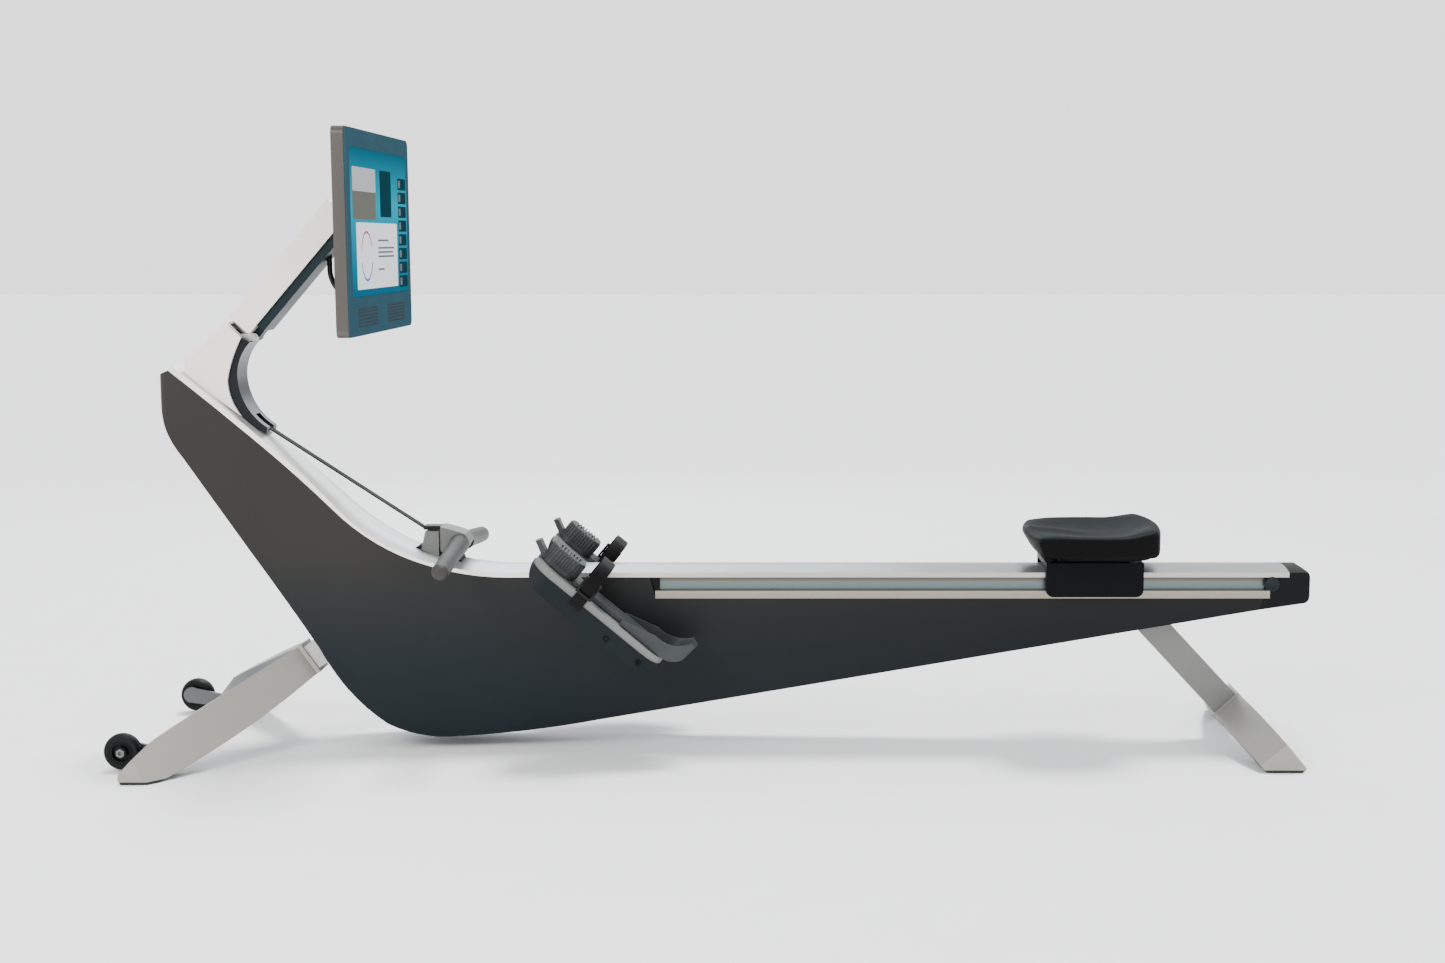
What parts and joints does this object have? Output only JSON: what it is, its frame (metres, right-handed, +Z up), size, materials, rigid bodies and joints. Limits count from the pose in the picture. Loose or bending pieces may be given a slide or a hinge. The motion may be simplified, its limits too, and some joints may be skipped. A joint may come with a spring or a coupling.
{
  "type": "rowing machine",
  "caption": "Long tapering rowing machine with a rolling seat on a grooved rail, pull handle on a strap, strapped footboards and a large display on a folding arm.",
  "frame": {"origin": "on the floor under the middle of the machine's length and width", "axes": "+Z up, +X along the rail towards its tail, away from the display; +Y across; the rower faces -X"},
  "size_m": [2.2622, 0.624, 1.174],
  "materials": {
    "hull": "satin charcoal",
    "deck": "satin silver",
    "rail": "anodised",
    "end_cap": "satin black",
    "bumper": "matte",
    "frame": "matte black",
    "bright_steel": "satin",
    "flywheel": "satin",
    "spool": "satin",
    "belt": "matte",
    "control": "matte",
    "webbing": "woven black",
    "grip": "satin gray",
    "handle_hub": "satin gray",
    "dock": "satin gray",
    "dock_pad": "matte",
    "roller": "satin",
    "carriage": "satin charcoal",
    "seat_pan": "satin black",
    "seat_foam": "satin skin over foam",
    "pedal_shell": "satin dark gray",
    "pedal_board": "satin gray",
    "heel_slider": "satin light gray",
    "buckle": "satin black",
    "leg": "satin gray",
    "foot": "satin silver",
    "pad": "matte",
    "wheel": "matte black",
    "bracket": "satin gray",
    "mast": "satin warm silver",
    "trim": "gloss black",
    "arm": "satin warm silver",
    "arm_under": "satin dark",
    "display_metal": "brushed",
    "display_glass": "gloss",
    "display_panel": "lit screen",
    "electronics": "matte",
    "lead": "satin black"
  },
  "bodies": {
    "machine": {"hull_shell_left": "hull", "hull_shell_right": "hull", "deck_cover": "deck", "rail": "rail", "rail_joiner": "frame", "rail_end_cap": "end_cap", "rail_bumpers": "bumper", "frame_side_plates": "frame", "frame_spacers_and_bolts": "bright_steel", "pedal_crossbars": "bright_steel", "drive_bearings": "bright_steel", "drive_belt": "belt", "return_spring_case": "control", "brake_magnet": "control", "control_box": "control", "mains_inlet": "control", "strap_inner_run": "webbing", "pull_strap": "webbing", "dock_pad": "dock_pad", "handle_dock": "dock", "pedal_shells": "pedal_shell", "pedal_boards": "pedal_board", "foot_straps": "webbing", "strap_buckles": "buckle", "front_leg_bar": "leg", "rear_leg_bar": "leg", "front_foot": "foot", "rear_foot": "foot", "floor_pads": "pad", "wheel_brackets": "bracket", "mast_cover": "mast", "mast_trim": "trim", "mast_post": "frame", "fold_bracket_and_pins": "bright_steel"},
    "handle": {"handle_hub": "handle_hub", "handle_grips": "grip", "strap_clip": "buckle"},
    "spool": {"strap_spool": "spool", "spool_shaft": "spool"},
    "flywheel_axle": {"flywheel_shaft": "bright_steel"},
    "flywheel": {"flywheel": "flywheel"},
    "fairlead": {"fairlead_roller": "roller"},
    "seat": {"seat_carriage": "carriage", "seat_pan": "seat_pan", "seat_cushion": "seat_foam"},
    "seat_front_rollers": {"seat_rollers_front": "roller"},
    "seat_rear_rollers": {"seat_rollers_rear": "roller"},
    "heel_slide_left": {"heel_slider_left": "heel_slider"},
    "heel_slide_right": {"heel_slider_right": "heel_slider"},
    "arm": {"display_arm": "arm", "arm_under_cover": "arm_under", "tilt_bracket": "bright_steel", "display_lead": "lead"},
    "display": {"display_housing": "display_metal", "display_glass": "display_glass", "display_panel": "display_panel", "display_electronics": "electronics", "tilt_block": "control"},
    "wheel_left": {"transport_wheel_left": "wheel"},
    "wheel_right": {"transport_wheel_right": "wheel"}
  },
  "joints": [
    {"name": "handle_pull", "type": "slide", "parent": "machine", "child": "handle", "axis": [0.9135, 0, 0.4067], "range_m": [0, 0.95], "stiffness_N_per_m": 10, "springref_m": -1.5, "deforming": ["pull_strap"]},
    {"name": "spool_turn", "type": "hinge", "parent": "machine", "child": "spool", "pos_m": [-0.84, 0, 0.44], "axis": [0, 1, 0], "range_deg": [-5, 1728]},
    {"name": "flywheel_axle_turn", "type": "hinge", "parent": "machine", "child": "flywheel_axle", "pos_m": [-0.56, 0, 0.19], "axis": [0, 1, 0], "range_deg": [-5, 4844]},
    {"name": "flywheel_turn", "type": "hinge", "parent": "machine", "child": "flywheel", "pos_m": [-0.56, 0, 0.19], "axis": [0, 1, 0], "continuous": true},
    {"name": "fairlead_turn", "type": "hinge", "parent": "machine", "child": "fairlead", "pos_m": [-0.884, 0, 0.618], "axis": [0, 1, 0], "continuous": true},
    {"name": "seat_roll", "type": "slide", "parent": "machine", "child": "seat", "axis": [1, 0, 0], "range_m": [-0.72, 0.235]},
    {"name": "seat_front_rollers_turn", "type": "hinge", "parent": "seat", "child": "seat_front_rollers", "pos_m": [0.654, 0, 0.3203], "axis": [0, 1, 0], "range_deg": [-3445, 1130]},
    {"name": "seat_rear_rollers_turn", "type": "hinge", "parent": "seat", "child": "seat_rear_rollers", "pos_m": [0.78, 0, 0.3203], "axis": [0, 1, 0], "range_deg": [-3445, 1130]},
    {"name": "heel_left", "type": "slide", "parent": "machine", "child": "heel_slide_left", "axis": [0.766, 0, -0.6428], "range_m": [-0.02, 0.015]},
    {"name": "heel_right", "type": "slide", "parent": "machine", "child": "heel_slide_right", "axis": [0.766, 0, -0.6428], "range_m": [-0.02, 0.015]},
    {"name": "arm_fold", "type": "hinge", "parent": "machine", "child": "arm", "pos_m": [-0.884, 0, 0.791], "axis": [0, 1, 0], "range_deg": [0, 55]},
    {"name": "display_tilt", "type": "hinge", "parent": "arm", "child": "display", "pos_m": [-0.697, 0, 1.036], "axis": [0, 1, 0], "range_deg": [-10, 10], "deforming": ["display_lead"]},
    {"name": "wheel_left_turn", "type": "hinge", "parent": "machine", "child": "wheel_left", "pos_m": [-1.097, -0.219, 0.037], "axis": [0, 1, 0], "continuous": true},
    {"name": "wheel_right_turn", "type": "hinge", "parent": "machine", "child": "wheel_right", "pos_m": [-1.097, 0.219, 0.037], "axis": [0, 1, 0], "continuous": true}
  ],
  "couplings": [
    {"joint": "spool_turn", "follows": "handle_pull", "rad_per_m": 31.646},
    {"joint": "flywheel_axle_turn", "follows": "handle_pull", "rad_per_m": 88.894},
    {"joint": "seat_front_rollers_turn", "follows": "seat_roll", "rad_per_m": 83.333},
    {"joint": "seat_rear_rollers_turn", "follows": "seat_roll", "rad_per_m": 83.333}
  ]
}
